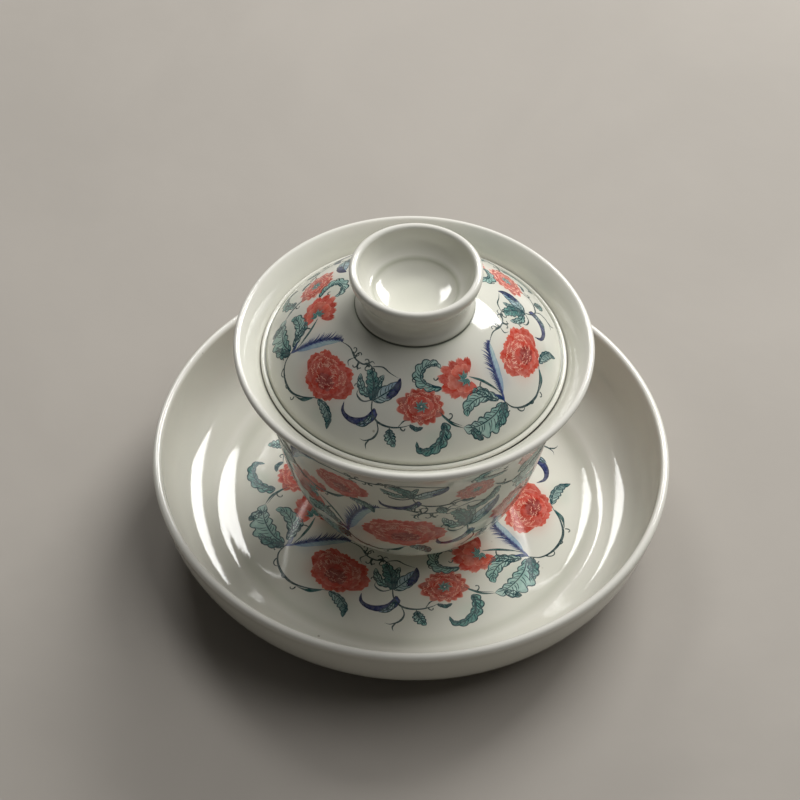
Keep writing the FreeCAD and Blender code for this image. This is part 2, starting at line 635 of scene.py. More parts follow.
@dataclass
class Blush:
    """A soft cloud of colour in the glaze round a painted flower."""

    angle: float
    height: float
    width: float
    rise: float
    colour: Array
    amount: float


@dataclass
class Garland:
    """One repeat of the painted scroll, on the chart.

    Attributes:
        radius: radius of the sphere that the chart is drawn for, the lid's dome.
        start: distance from the axis where the chart's height is 0.
        seed: seed of the small unevenness of a hand.
    """

    radius: float = 48.2
    start: float = 40.0
    seed: int = 7
    trays: dict = field(default_factory=lambda: {e: Tray() for e in Enamel})
    blushes: list = field(default_factory=list)

    def __post_init__(self) -> None:
        """Start the seeded unevenness."""
        self.hand = np.random.default_rng(self.seed)

    def reach(self, height: Array) -> Array:
        """Distance from the axis on the dome, radius * sin(start angle - height / radius)."""
        angle = math.asin(self.start / self.radius) - np.asarray(height) / self.radius
        return self.radius * np.sin(angle)

    def sideways(self, path: Array, offset: Array) -> Array:
        """Unit vectors to the left of a line on the chart.

        Args:
            path: array (n, 2) of angle and height.
            offset: array (n, 2), millimetres added to it.

        Returns:
            Array (n, 2) in millimetres.
        """
        step = np.gradient(path, axis=0)
        step = np.stack([np.radians(step[:, 0]) * self.reach(path[:, 1]), step[:, 1]], 1)
        step = step + np.gradient(offset, axis=0)
        step /= np.maximum(np.linalg.norm(step, axis=1), 1e-9)[:, None]
        return np.stack([-step[:, 1], step[:, 0]], 1)

    def film(self, enamel: Enamel, path: Array, offset: Array, right: Array,
             left: Array, tones: Array, crown: float, across: Array = ACROSS) -> None:
        """Lay a film of enamel along a line: offset + sideways * width at each step, flat on top.

        Args:
            enamel: which enamel.
            path: array (n, 2) of angle and height.
            offset: array (n, 2), millimetres added to it.
            right, left: widths to each side, arrays (n,).
            tones: array that broadcasts to (n, k, 3).
            crown: thickness.
            across: the steps across, from -1 to 1.
        """
        side = self.sideways(path, offset)
        width = np.where(across[None, :] < 0, right[:, None], left[:, None]) * across[None, :]
        spots = np.zeros((len(path), len(across), 5))
        spots[:, :, :2] = path[:, None, :]
        spots[:, :, 2:4] = offset[:, None, :] + side[:, None, :] * width[:, :, None]
        crown = crown + self.hand.uniform(0, UNEVEN_FILM)
        spots[:, :, 4] = np.where(np.abs(across) > 0.99, SUNK, crown)[None, :]
        spots[[0, -1], :, 4] = SUNK
        self.trays[enamel].strip(spots, tones)

    def stroke(self, enamel: Enamel, points: list, width: float, colours: tuple,
               crown: float = RIM_LINE, taper: tuple = (0.5, 0.12), count: int = 0) -> None:
        """One stroke of a pointed brush, swelling in the middle.

        Args:
            enamel: which enamel.
            points: chart points that it passes through.
            width: full width where it is widest.
            colours: colour at its start and at its end.
            crown: thickness.
            taper: share of the width at the start and the end.
            count: number of steps, or 0 to choose by its length.
        """
        count = count or max(8, 6 * len(points))
        path = spline(points, count)
        s = np.linspace(0, 1, count)
        swell = np.interp(s, [0, 0.06, 0.45, 0.94, 1], [0.1 * taper[0], taper[0], 1.0, taper[1], 0.05])
        half = 0.5 * width * swell * (1 + 0.10 * np.sin(9 * s + self.hand.uniform(0, 6)))
        self.film(enamel, path, np.zeros((count, 2)), half, half, fade(colours, s), crown)

    def flick(self, enamel: Enamel, spot: tuple, start: Array, end: Array, bend: float,
              width: float, colours: tuple, crown: float) -> None:
        """A short stroke between two places given in millimetres from a chart spot.

        It is a parabola: the straight line plus bend * 4 s (1 - s) sideways.

        Args:
            enamel: which enamel.
            spot: chart spot.
            start, end: millimetres from the spot.
            bend: how far it bows to the left, as a share of its length.
            width: full width.
            colours: colour at its start and at its end.
            crown: thickness.
        """
        swell = np.array([0.3, 0.9, 1.0, 0.85, 0.5, 0.08])
        share = np.linspace(0, 1, len(swell))
        s = share[:, None]
        run = np.asarray(end, float) - start
        offset = start + run * s + np.array([-run[1], run[0]]) * bend * 4 * s * (1 - s)
        half = 0.5 * width * swell
        self.film(enamel, staying(spot, len(swell)), offset, half, half, fade(colours, share), crown)

    def curl(self, spot: tuple, heading: float, size: float, hand: int) -> None:
        """A tendril that rolls up: its heading turns faster and faster as it goes.

        Args:
            spot: chart spot where it starts.
            heading: direction in degrees, counter-clockwise from the chart's angle axis.
            size: length in millimetres.
            hand: 1 to roll to the left and -1 to the right.
        """
        width, turns, count = 0.42, 0.6, 18
        s = np.linspace(0, 1, count)
        way = math.radians(heading) + hand * 2 * math.pi * turns * s ** 1.8
        step = np.stack([np.cos(way), np.sin(way)], 1) * size / count * (1.25 - 0.6 * s)[:, None]
        offset = np.cumsum(step, axis=0) - step[0]
        half = 0.5 * width * np.interp(s, [0, 0.1, 0.8, 0.95, 1], [0.4, 1.0, 0.6, 0.95, 0.1])
        self.film(Enamel.OUTLINE, staying(spot, count), offset, half, half, INK, RIM_LINE)

    def leaf(self, points: list, right: float, left: float, colours: tuple, lobes: int,
             cut: float = 0.3, full: float = 0.85, enamel: Enamel = Enamel.GREEN, line: Array = TEAL,
             veins: bool = True, edge: float = 0.38, line_enamel: Enamel = Enamel.OUTLINE) -> None:
        """A lobed leaf: a film either side of its midrib, with outlines, a midrib and a vein to each lobe.

        Its width at share s of its length is side * sin(pi * s ** full) ** 0.75, times one plus a rounded
        saw-tooth wave that makes the lobes.

        Args:
            points: chart points along the midrib, from stalk to tip.
            right, left: greatest widths.
            colours: colour at the stalk and at the tip.
            lobes: lobes on each side.
            cut: how deep the lobes are cut.
            full: below 1 the leaf is fuller near its stalk.
            enamel: enamel of the blade.
            line: colour of the outline and veins.
            veins: whether to draw veins.
            edge: width of the outline.
            line_enamel: enamel of the outline.
        """
        count = max(14, lobes * 6)
        path = spline(points, count)
        s = np.linspace(0, 1, count)
        blade = np.maximum(np.sin(np.pi * s ** full) ** 0.75, 0.02)
        wave = np.abs(np.sin(np.pi * lobes * s)) ** 0.8
        wide = blade * (1 - cut + cut * 1.25 * wave)
        zero = np.zeros((count, 2))
        t = np.abs(ACROSS_LEAF)[None, :, None]
        dark = np.clip(0.7 - 1.5 * t, 0, 1) * (0.3 + 0.7 * (ACROSS_LEAF < 0))[None, :, None]
        dark = np.maximum(dark, 0.45 * (t > 0.85) * (0.4 + 0.6 * s[:, None, None]))
        tones = fade(colours, s) * (1 - 0.8 * dark) + line * 0.8 * dark
        self.film(enamel, path, zero, right * wide, left * wide, tones, BLADE, ACROSS_LEAF)
        side = self.sideways(path, zero)
        for way, size in ((-1, right), (1, left)):
            if size <= 0.3:   # too narrow for an outline of its own
                continue
            rim = side * (way * size * wide * 0.95)[:, None]
            half = 0.5 * edge * np.interp(s, [0, 0.1, 0.8, 1], [0.5, 1.0, 0.9, 0.3])
            half = half * (0.75 + 0.5 * self.hand.random(count))
            self.film(line_enamel, path, rim, half, half, line, RIM_LINE)
            tips = np.linspace(0.12, 0.93, 2 * lobes + 1) * (count - 1)
            for tip in tips.astype(int) if veins else ():
                root = max(0, tip - max(2, count // (lobes + 2)))
                back = path[tip] - path[root]
                flat = np.array([math.radians(back[0]) * self.reach(path[tip, 1]), back[1]])
                self.flick(line_enamel, tuple(path[root]), np.zeros(2), flat + rim[tip] * 0.88, 0.12 * way,
                           edge * 0.8, (line, line * 1.3), VEIN)
        half = 0.5 * edge * 1.25 * np.interp(s, [0, 0.85, 1], [1.0, 0.6, 0.1])
        self.film(line_enamel, path[:-1], zero[:-1], half[:-1], half[:-1], line, MIDRIB)

    def petal(self, spot: tuple, root: Array, heading: float, size: float, width: float,
              colours: tuple, crown: float, frill: int, begin: float) -> None:
        """A fan-shaped petal with a frilled, paler edge.

        Along s from 0 at the root to 1 at the edge and across t from -1 to 1, the place is
        size * s * (0.74 + 0.26 * sqrt(1 - t t) + frills) forward and width * t * swelling(s) sideways.

        Args:
            spot: chart spot of the flower.
            root: millimetres from the spot to the petal's root.
            heading: direction in degrees.
            size: length.
            width: greatest half width.
            colours: colour at the root, in the body, and along the edge.
            crown: thickness.
            frill: number of frills.
            begin: share of the length that is left out at the root.
        """
        s = np.array([0.0, 0.04, 0.35, 0.62, 0.84, 0.93, 1.0])
        s = begin + (1 - begin) * s
        ss, tt = s[:, None], ACROSS_PETAL[None, :]
        shake = self.hand.uniform(-0.5, 0.5)
        frills = 0.035 * np.cos(np.pi * frill * tt + 2 * shake) * ss ** 2
        forward = size * ss * (0.74 + 0.26 * np.sqrt(1 - (0.97 * tt) ** 2) + frills)
        swell = np.interp(s, [0, 0.3, 0.7, 0.9, 1.0], [0.22, 0.62, 1.0, 0.96, 0.78])[:, None]
        across = width * tt * swell
        way = math.radians(heading)
        ahead = np.array([math.cos(way), math.sin(way)])
        left = np.array([-ahead[1], ahead[0]])
        spots = np.zeros((len(s), len(ACROSS_PETAL), 5))
        spots[:, :, :2] = spot
        spots[:, :, 2:4] = root + forward[:, :, None] * ahead + across[:, :, None] * left
        spots[:, :, 4] = crown + self.hand.uniform(0, UNEVEN_PETAL)
        spots[[0, -1], :, 4] = SUNK
        spots[:, [0, -1], 4] = SUNK
        blend = np.clip((ss - begin) / 0.55, 0, 1)[:, :, None]
        tones = colours[0] * (1 - blend) + colours[1] * blend
        lip = np.clip((ss - 0.90) / 0.08, 0, 1)
        lip = np.maximum(lip, np.clip((np.abs(tt) - 0.9) / 0.1, 0, 1) * np.clip(ss * 1.4 - 0.35, 0, 1))
        streak = 0.22 * np.cos(np.pi * 4.4 * tt + 3 * shake) ** 2 * np.clip(ss * 1.3 - 0.3, 0, 1)
        share = np.clip(np.maximum(lip * 0.7, streak), 0, 1)[:, :, None]
        tones = tones * (1 - share) + colours[2] * share
        self.trays[Enamel.CORAL].strip(spots, tones)

    def whorl(self, spot: tuple, root: tuple, count: int, size: tuple, colours: tuple, crown: float,
              span: tuple = (0.0, 360.0), begin: float = 0.0, spread: float = 1.25,
              frill: int = 3) -> None:
        """Petals round a centre, their lengths following an ellipse.

        Args:
            spot: chart spot of the flower.
            root: millimetres from the spot to the centre.
            count: number of petals.
            size: length sideways, upwards and downwards.
            colours: as for a petal.
            crown: thickness, each petal a touch higher than the next.
            span: first and last direction, in degrees.
            begin: share of each petal left out at its root.
            spread: above 1, neighbours overlap.
            frill: number of frills of a petal.
        """
        whole = span[1] - span[0] >= 359
        headings = np.linspace(span[0], span[1], count, endpoint=not whole)
        for i, heading in enumerate(headings):
            heading += self.hand.uniform(-4, 4)
            way = math.radians(heading)
            c, s = math.cos(way), math.sin(way)
            tall = size[1] if s > 0 else size[2]
            length = size[0] * tall / math.hypot(tall * c, size[0] * s) * self.hand.uniform(0.92, 1.06)
            gap = math.radians((span[1] - span[0]) / (count if whole else count - 1))
            half = length * 0.8 * math.tan(gap / 2) * spread
            shade = self.hand.uniform(0.82, 1.12)
            shaded = (colours[0] * shade, colours[1] * shade, colours[2])
            higher = crown + PETAL_STEP * (i % 3)
            self.petal(spot, np.array(root), heading, length, half, shaded, higher, frill, begin)

    def ruffles(self, spot: tuple, middle: tuple, reach: tuple, count: int, crown: float) -> None:
        """Pale crinkles over a flower: short scalloped lines that lie across its petals.

        Each follows an ellipse round the middle for a short way, at a share of the reach that steps
        outwards from one to the next by the golden angle, and its distance swells by |sin| three times.

        Args:
            spot: chart spot of the flower.
            middle: millimetres from the spot to the middle.
            reach: half width and half height that they fill.
            count: number of lines.
            crown: thickness.
        """
        s = np.linspace(0, 1, 13)
        for k in range(count):
            share = 0.22 + 0.70 * math.sqrt((k + 0.5) / count)
            span = self.hand.uniform(0.9, 1.5) * 1.9 / (share * 6.0)
            way = k * GOLDEN_ANGLE + (s - 0.5) * span
            swell = share * (1 + 0.13 * np.abs(np.sin(3 * np.pi * s)) - 0.06)
            round_it = np.stack([reach[0] * swell * np.cos(way), reach[1] * swell * np.sin(way)], 1)
            half = 0.10 * np.interp(s, [0, 0.1, 0.9, 1], [0.2, 1.0, 1.0, 0.2])
            self.film(Enamel.CORAL, staying(spot, len(s)), np.array(middle) + round_it, half, half,
                      CORAL_PALE * [1.0, 0.9, 0.86], crown)

    def peony(self, spot: tuple) -> None:
        """Full peony: three whorls of frilled petals round a dense heart a little below the middle."""
        for root, count, size, colours, crown, begin, spread in (
            ((0.2, 0.2), 10, (8.9, 6.3, 5.8), (CORAL, CORAL, CORAL_SOFT), 0.020, 0.2, 1.4),
            ((0.4, -0.2), 9, (7.1, 5.0, 4.2), (CORAL_DEEP, CORAL, CORAL_PALE), 0.032, 0.2, 1.3),
            ((0.8, -0.7), 7, (5.1, 3.7, 3.1), (CORAL_DEEP, CORAL, CORAL_LIGHT), 0.044, 0.1, 1.15),
            ((1.0, -1.1), 6, (3.2, 2.4, 1.9), (CORAL_DEEP, CORAL_DEEP, CORAL), 0.056, 0.0, 1.25),
        ):
            self.whorl(spot, root, count, size, colours, crown, begin=begin, spread=spread)
        self.ruffles(spot, (-0.3, 1.3), (6.8, 4.0), 24, 0.064)
        for k in range(18):
            way = math.radians(20 + 150 * k / 17)
            start = np.array([-0.4 + 2.2 * math.cos(way), 0.2 + 1.9 * math.sin(way)])
            end = start + np.array([2.0 * math.cos(way), 1.7 * math.sin(way)]) * self.hand.uniform(0.6, 1.2)
            self.flick(Enamel.CORAL, spot, start, end, self.hand.uniform(-0.2, 0.2), 0.16,
                       (CORAL_PALE, CORAL_PALE), 0.068)
        self.blushes.append(Blush(*spot, 9.3, 6.7, tone(216, 134, 112), 0.42))

    def rosette(self, spot: tuple) -> None:
        """Round flower seen from above: three rings of short petals round a green eye."""
        rings = ((15, 6.2, 4.9, 0.5, 0.020), (12, 4.8, 3.8, 0.4, 0.032), (9, 3.3, 2.7, 0.2, 0.044))
        for count, wide, high, begin, crown in rings:
            self.whorl(spot, (0, 0), count, (wide, high, high), (CORAL_DEEP, CORAL, CORAL_PALE), crown,
                       begin=begin, spread=1.5, frill=1)
        for k in range(14):
            way = 2 * math.pi * k / 14
            ahead = np.array([math.cos(way) * 1.1, math.sin(way)])
            tip = 2.0 if k % 2 else 1.4
            self.flick(Enamel.GREEN, spot, ahead * 0.2, ahead * tip, 0.15, 0.55, (TEAL, GREEN), 0.056)
        self.ruffles(spot, (0.0, 0.0), (5.6, 4.4), 18, 0.062)
        self.blushes.append(Blush(*spot, 6.5, 5.2, tone(216, 140, 118), 0.35))

    def fan_flower(self, spot: tuple, heading: float) -> None:
        """Flower seen from the side: a fan of petals from a jagged green cup.

        Args:
            spot: chart spot of the cup.
            heading: direction that it opens to, in degrees.
        """
        self.whorl(spot, (0, 0), 10, (7.6, 5.8, 5.0), (CORAL, CORAL, CORAL_PALE), 0.020,
                   (heading - 112, heading + 118), 0.35)
        self.whorl(spot, (0, 0), 8, (5.4, 4.2, 3.8), (CORAL_DEEP, CORAL_LIGHT, CORAL_PALE), 0.032,
                   (heading - 100, heading + 104), 0.25)
        for k in range(11):
            way = math.radians(heading - 120 + 24 * k)
            ahead = np.array([math.cos(way), math.sin(way)])
            tip = 2.5 if k % 2 else 1.7
            self.flick(Enamel.GREEN, spot, ahead * 0.1, ahead * tip, 0.1, 0.75, (GREEN_DEEP, GREEN), 0.046)
            self.flick(Enamel.OUTLINE, spot, ahead * 0.3, ahead * (tip + 0.2), 0.1, 0.22, (TEAL, TEAL), 0.052)
        self.blushes.append(Blush(spot[0] - 2.5, spot[1] + 0.3, 6.6, 5.6, tone(216, 140, 118), 0.32))

    def feather(self) -> None:
        """Long indigo plume: a tapering spine with a fringe of barbs along its upper side."""
        spine = [(195.0, 9.6), (197.0, 13.0), (199.6, 17.2), (203.6, 21.0), (209.5, 23.6), (216.5, 24.4)]
        self.leaf([(196.0, 11.6), (198.4, 15.4), (201.6, 19.2), (206.0, 22.0), (211.0, 23.8)], 1.7, 0.9,
                  (INDIGO_PALE, GREEN_PALE), lobes=3, cut=0.1, enamel=Enamel.INDIGO, line=INDIGO_PALE,
                  veins=False, edge=0.1, line_enamel=Enamel.INDIGO)
        self.stroke(Enamel.INDIGO, spine, 0.85, (INDIGO, INDIGO_DEEP), 0.044, (0.8, 0.2), 44)
        path = spline(spine, 80)
        side = self.sideways(path, np.zeros((80, 2)))
        for k in range(30):
            i = 8 + int(k * 2.05)
            size = 3.5 * math.sin(math.pi * ((k + 2) / 33.0) ** 0.8) ** 0.8 * self.hand.uniform(0.8, 1.15)
            ahead = np.array([side[i, 1], -side[i, 0]])
            end = side[i] * size * 0.62 + ahead * size * 1.0
            self.flick(Enamel.INDIGO, tuple(path[i]), np.zeros(2), end, -0.12, 0.3,
                       (INDIGO_DEEP, INDIGO), 0.050)
            if k % 2 == 0:
                end = -side[i] * size * 0.36 + ahead * size * 0.8
                self.flick(Enamel.INDIGO, tuple(path[i]), np.zeros(2), end, 0.1, 0.22,
                           (INDIGO, INDIGO_PALE), 0.048)

    def leaves(self) -> None:
        """The leaves, buds and hooks along the scroll: midrib, widths, colours, lobes, cut and fullness."""
        pale, green, deep = GREEN_PALE, GREEN, GREEN_DEEP
        for points, right, left, colours, *shape in (
            # the acanthus: two blades, with a third standing behind, and two small ones at its foot
            ([(314.0, 10.0), (309.0, 8.4), (303.0, 7.6), (297.5, 7.4), (292.5, 8.2)],
             1.9, 4.2, (green, pale), 6, 0.38),
            ([(313.0, 11.0), (309.0, 13.2), (304.0, 14.0), (299.0, 13.4), (296.4, 12.0), (295.6, 10.6)],
             2.1, 1.5, (pale, green), 5),
            ([(310.5, 11.8), (307.0, 15.0), (301.5, 16.8)], 1.3, 1.0, (pale, green), 4),
            ([(315.0, 9.6), (311.0, 6.8), (306.0, 4.8)], 1.2, 1.7, (deep, green), 4),
            ([(296.0, 7.2), (297.5, 5.2), (299.5, 3.4)], 1.1, 1.1, (green, deep), 3),
            # sprays between the flowers
            ([(224.5, 8.8), (229.5, 8.4), (233.5, 6.4), (234.5, 3.4)], 1.9, 0.7, (pale, deep), 6),
            ([(249.4, 15.0), (248.0, 18.4), (244.6, 21.2), (240.4, 22.2)], 1.6, 1.9, (deep, green), 5),
            ([(249.6, 16.0), (250.0, 19.6), (251.5, 22.4)], 0.9, 1.0, (green, pale), 3),
            ([(248.2, 16.2), (244.0, 16.6), (240.0, 18.4), (237.5, 20.6)], 1.0, 1.1, (green, pale), 4),
            ([(250.0, 15.2), (253.6, 17.0), (257.6, 19.0), (261.2, 21.4)],
             2.1, 1.9, (pale, INDIGO_PALE), 3, 0.15),
            # two indigo hooks
            ([(256.2, 16.6), (259.6, 17.8), (262.0, 20.0), (262.2, 22.4)],
             0.5, 1.4, (INDIGO, INDIGO_DEEP), 2, 0.1),
            ([(251.8, 13.4), (249.4, 10.8), (246.0, 9.6), (242.0, 9.2), (238.2, 10.0), (236.6, 12.2)],
             0.3, 1.9, (INDIGO, INDIGO_DEEP), 3, 0.1, 0.38),
            # buds and crescents
            ([(251.4, 11.6), (249.4, 9.2), (245.8, 7.8)], 0.6, 0.9, (pale, INDIGO_PALE), 2, 0.1),
            ([(260.4, 8.8), (261.6, 6.6), (263.4, 4.4)], 1.7, 1.1, (pale, green), 5, 0.4),
            ([(284.4, 10.6), (283.6, 7.8), (281.0, 5.4), (276.8, 3.8), (273.2, 4.2), (272.2, 6.2)],
             0.9, 2.0, (green, deep), 7, 0.35, 0.52),
            ([(284.2, 10.4), (283.4, 7.4), (280.8, 4.4)], 0.4, 1.3, (green, pale), 4, 0.4),
            ([(287.0, 19.4), (280.5, 20.2), (275.4, 21.8), (275.0, 24.0), (279.5, 25.8), (286.0, 25.8),
              (289.0, 24.4)], 0.7, 2.0, (green, pale), 8, 0.4),
            ([(269.0, 10.4), (272.0, 9.4), (275.0, 9.8)], 0.5, 0.5, (green, deep), 3),
        ):
            blue = colours[0] is INDIGO
            self.leaf(points, right, left, colours, *shape, enamel=Enamel.INDIGO if blue else Enamel.GREEN,
                      line=INDIGO_DEEP if blue else TEAL)

    def stems(self) -> None:
        """The scroll's stems and tendrils."""
        green = (GREEN_DEEP, INK)
        dark = (INK, TEAL)
        for points, width, colours in (
            ([(195.0, 10.2), (197.5, 7.2), (203.0, 5.2), (210.5, 4.6), (217.0, 6.2), (222.5, 8.4),
              (227.0, 9.4)], 0.55, dark),
            ([(222.0, 8.2), (218.0, 5.8), (213.5, 4.7)], 0.8, green),
            ([(283.5, 12.8), (288.0, 9.8), (293.0, 7.9)], 0.5, green),
            ([(282.5, 13.8), (287.5, 10.6), (292.5, 8.6)], 0.3, dark),
            ([(304.0, 20.2), (309.5, 18.0), (314.0, 14.6), (316.0, 11.0)], 0.5, green),
            ([(305.5, 19.6), (310.5, 17.0), (315.0, 13.2)], 0.28, dark),
            ([(249.4, 15.6), (250.8, 12.6), (254.5, 10.2), (260.5, 9.4), (266.5, 9.9), (270.5, 10.9)],
             0.5, dark),
            ([(254.0, 10.6), (255.6, 8.0), (254.2, 5.8), (251.0, 4.6), (248.8, 4.8)], 0.45, dark),
            ([(253.0, 5.2), (251.8, 3.8), (252.4, 2.4)], 0.4, dark),
            ([(260.2, 9.6), (260.6, 7.6), (261.4, 6.4)], 0.4, dark),
            ([(214.5, 24.4), (221.5, 24.5), (228.5, 23.2), (235.0, 22.9), (241.5, 23.4), (247.0, 20.0),
              (249.5, 15.4)], 0.4, dark),
            ([(228.0, 23.2), (226.0, 21.6), (229.0, 20.4)], 0.3, dark),
            ([(238.0, 23.0), (240.5, 24.6), (243.5, 24.2)], 0.3, dark),
            ([(249.4, 15.2), (245.0, 14.2), (241.0, 15.2), (240.6, 17.0)], 0.4, dark),
            ([(312.0, 13.0), (314.5, 11.2), (315.6, 9.4)], 0.9, (INDIGO, TEAL)),
            ([(264.0, 9.7), (266.2, 11.3), (268.6, 11.6)], 0.3, dark),
            ([(242.0, 23.4), (249.0, 24.2), (255.0, 23.2), (261.5, 22.2)], 0.35, dark),
        ):
            self.stroke(Enamel.OUTLINE, points, 1.3 * width, colours)
        for spot, heading, size, hand in (
            ((199.0, 6.6), -80, 5.0, 1), ((206.0, 4.8), -60, 2.6, 1), ((213.5, 4.6), -70, 2.6, -1),
            ((232.0, 22.8), -60, 3.2, -1), ((236.0, 22.8), 60, 3.4, -1), ((224.5, 24.4), -45, 3.4, 1),
            ((309.5, 17.6), 215, 4.6, 1), ((286.5, 11.0), 10, 3.2, 1), ((265.0, 9.7), -70, 2.4, 1),
            ((272.5, 23.0), 190, 3.0, 1), ((241.0, 16.6), 110, 3.2, 1), ((196.0, 8.6), 200, 3.4, 1),
            ((286.0, 22.4), -120, 2.4, -1), ((298.5, 5.0), -110, 2.6, 1), ((245.0, 22.2), 100, 2.4, 1),
            ((229.0, 23.2), 120, 3.6, -1), ((233.5, 23.0), -110, 3.0, 1), ((238.5, 22.6), 70, 3.8, 1),
            ((240.5, 23.4), -150, 3.0, 1), ((226.0, 24.0), 80, 3.0, 1), ((235.0, 21.0), 150, 3.6, -1),
        ):
            self.curl(spot, heading, size, hand)

    def draw(self) -> None:
        """Lay out the whole repeat."""
        self.stems()
        self.leaves()
        self.feather()
        self.peony((220.5, 14.4))
        self.rosette((274.5, 15.2))
        self.fan_flower((301.8, 20.0), 172.0)
        for spot in ((305.0, 9.0), (247.0, 19.0), (281.0, 6.8), (278.0, 23.4), (230.0, 6.6)):
            self.blushes.append(Blush(*spot, 4.6, 3.4, tone(178, 196, 178), 0.35))
        self.blushes.append(Blush(200.0, 16.0, 3.4, 5.0, tone(170, 186, 192), 0.4))


# ---- Porcelain ----


def foot_ring(outer: float, width: float, recess: float, top: float, flare: float) -> list:
    """Moves along an underside: the recess, the foot ring's inner side, its flat and its outer side.

    Args:
        outer: outside radius of the ring.
        width: its width.
        recess: height of the underside inside it.
        top: where the wall leaves it.
        flare: how far the wall starts outside it.

    Returns:
        The moves.
    """
    inner = outer - width
    edge = 0.5
    corner = edge * (1 - ROOT_HALF)
    return [
        ((inner - 1.2, recess),),
        ((inner - 0.3, recess), (inner, recess - 0.4), (inner, edge)),
        ((inner + corner, corner), (inner + edge, 0.0)),
        ((outer - edge, 0.0),),
        ((outer - corner, corner), (outer, edge)),
        ((outer, top - 1.0),),
        ((outer, top - 0.3), (outer + 0.2, top), (outer + flare, top + 0.15)),
    ]


@dataclass
class TurnedPiece:
    """A piece of porcelain turned about Z.

    Attributes:
        node: CAD node that it stands for, and body that it rides on.
        around: faces round the axis.
    """

    node: str = ""
    around: int = 360

    def outline(self) -> Outline:
        """The piece's outline."""
        raise NotImplementedError

    def marks(self) -> dict:
        """Where glaze pools and thins: lists of (radius, height, reach, amount), and the bare height."""
        raise NotImplementedError

    def bands(self) -> list:
        """The stretches that carry the garland."""
        raise NotImplementedError

    def surface(self) -> tuple:
        """Carry the outline round the axis: (r cos a, r sin a, z), with one vertex at each pole.

        Returns:
            Outline points, vertices, quads and triangles.
        """
        line = self.outline().points()
        rows = line[1:-1]
        angle = np.linspace(0, 2 * np.pi, self.around, endpoint=False)
        grid = np.stack([rows[:, :1] * np.cos(angle), rows[:, :1] * np.sin(angle),
                         np.repeat(rows[:, 1:], self.around, 1)], -1)
        verts = np.vstack([grid.reshape(-1, 3), [[0, 0, line[0, 1]], [0, 0, line[-1, 1]]]])
        number = np.arange(len(rows) * self.around).reshape(len(rows), self.around)
        nxt = np.roll(number, -1, axis=1)
        quads = np.stack([number[:-1], nxt[:-1], nxt[1:], number[1:]], -1).reshape(-1, 4)
        low, high = len(verts) - 2, len(verts) - 1
        tris = np.vstack([np.stack([np.full(self.around, low), nxt[0], number[0]], -1),
                          np.stack([np.full(self.around, high), number[-1], nxt[-1]], -1)])
        return line, verts, quads, tris

    def glaze_and_shade(self, line: Array) -> Array:
        """How the glaze lies at each point of the outline. Its strongest pooling also stands for painted
        shade.

        Pooling and thinning are sums of bell curves of the distance to given spots, and the clay is bare
        below a given height.

        Args:
            line: outline points.

        Returns:
            Array (n, 3) of pooling, thinning and bareness.
        """
        marks = self.marks()
        out = np.zeros((len(line), 3))
        for column, key in enumerate(("pool", "thin")):
            for r, z, reach, amount in marks[key]:
                apart = np.hypot(line[:, 0] - r, line[:, 1] - z)
                out[:, column] += amount * np.exp(-(apart / reach) ** 2)
        low, inner, outer = marks["bare"]
        in_ring = (line[:, 0] > inner) & (line[:, 0] < outer)
        out[:, 2] = np.where(in_ring, np.clip((low - line[:, 1]) / 0.25, 0, 1), 0)
        return np.clip(out, 0, 1)

    def blush(self, verts: Array, line: Array, blushes: list) -> Array:
        """Colour of the soft clouds at each vertex, and how much of it shows.

        Each cloud is exp(-|x / width| ** 3 - |y / rise| ** 3) of the distances x round and y up the band.

        Args:
            verts: vertices, the outline's rows one after the other and then the two poles.
            line: outline points.
            blushes: clouds, on the garland's chart.

        Returns:
            Array (n, 4) of colour and amount.
        """
        rows = line[1:-1]
        r = np.repeat(rows[:, 0], self.around)
        angle = np.degrees(np.arctan2(verts[:-2, 1], verts[:-2, 0]))
        colour = np.tile(GLAZE, (len(r), 1))
        amount = np.zeros(len(r))
        for band, cloud in ((b, c) for b in self.bands() for c in blushes):
            apart = np.hypot(*(rows[:, None] - band.line[None]).transpose(2, 0, 1))
            height = np.repeat(band.along[apart.argmin(1)], self.around)
            on_band = np.repeat(apart.min(1) < 0.6, self.around)
            y = (height - band.foot - band.climb * cloud.height) / band.scale
            x = (angle - cloud.angle - band.turn + 180.0 / REPEATS) % (360.0 / REPEATS) - 180.0 / REPEATS
            x = np.radians(x) * r / band.scale
            bell = np.exp(-(np.abs(x) / cloud.width) ** 3 - (np.abs(y) / cloud.rise) ** 3)
            share = cloud.amount * bell * on_band
            colour = colour * (1 - share[:, None]) + cloud.colour * share[:, None]
            amount = np.maximum(amount, np.minimum(share * 3, 1))
        out = np.hstack([colour, amount[:, None]])
        return np.vstack([out, np.zeros((2, 4))])

    def build(self, garland: Garland, glaze: types.Material, enamels: dict) -> None:
        """Make the porcelain and its painting.

        Args:
            garland: the painted scroll.
            glaze: finish of the porcelain.
            enamels: finish of each enamel.
        """
        line, verts, quads, tris = self.surface()
        mesh = new_mesh(self.node + "_porcelain", verts, quads, tris)
        glaze_and_shade = self.glaze_and_shade(line)
        spread = np.vstack([np.repeat(glaze_and_shade[1:-1], self.around, axis=0), glaze_and_shade[:1], glaze_and_shade[-1:]])
        add_colour(mesh, "glaze_and_shade", spread)
        add_colour(mesh, "blush", self.blush(verts, line, garland.blushes))
        mesh.polygons.foreach_set("use_smooth", np.ones(len(mesh.polygons), bool))
        piece = new_piece(mesh, self.node, glaze)
        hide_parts(self.node)
        LOG.info("%s: %d faces", mesh.name, len(mesh.polygons))
        for row, band in zip(("garland", "upper_garland"), self.bands()):
            for enamel, tray in garland.trays.items():
                painted = tray.mesh("_".join((self.node, row, enamel.name.lower())), band)
                new_piece(painted, self.node, enamels[enamel])
                LOG.info("%s: %d faces", painted.name, len(painted.polygons))


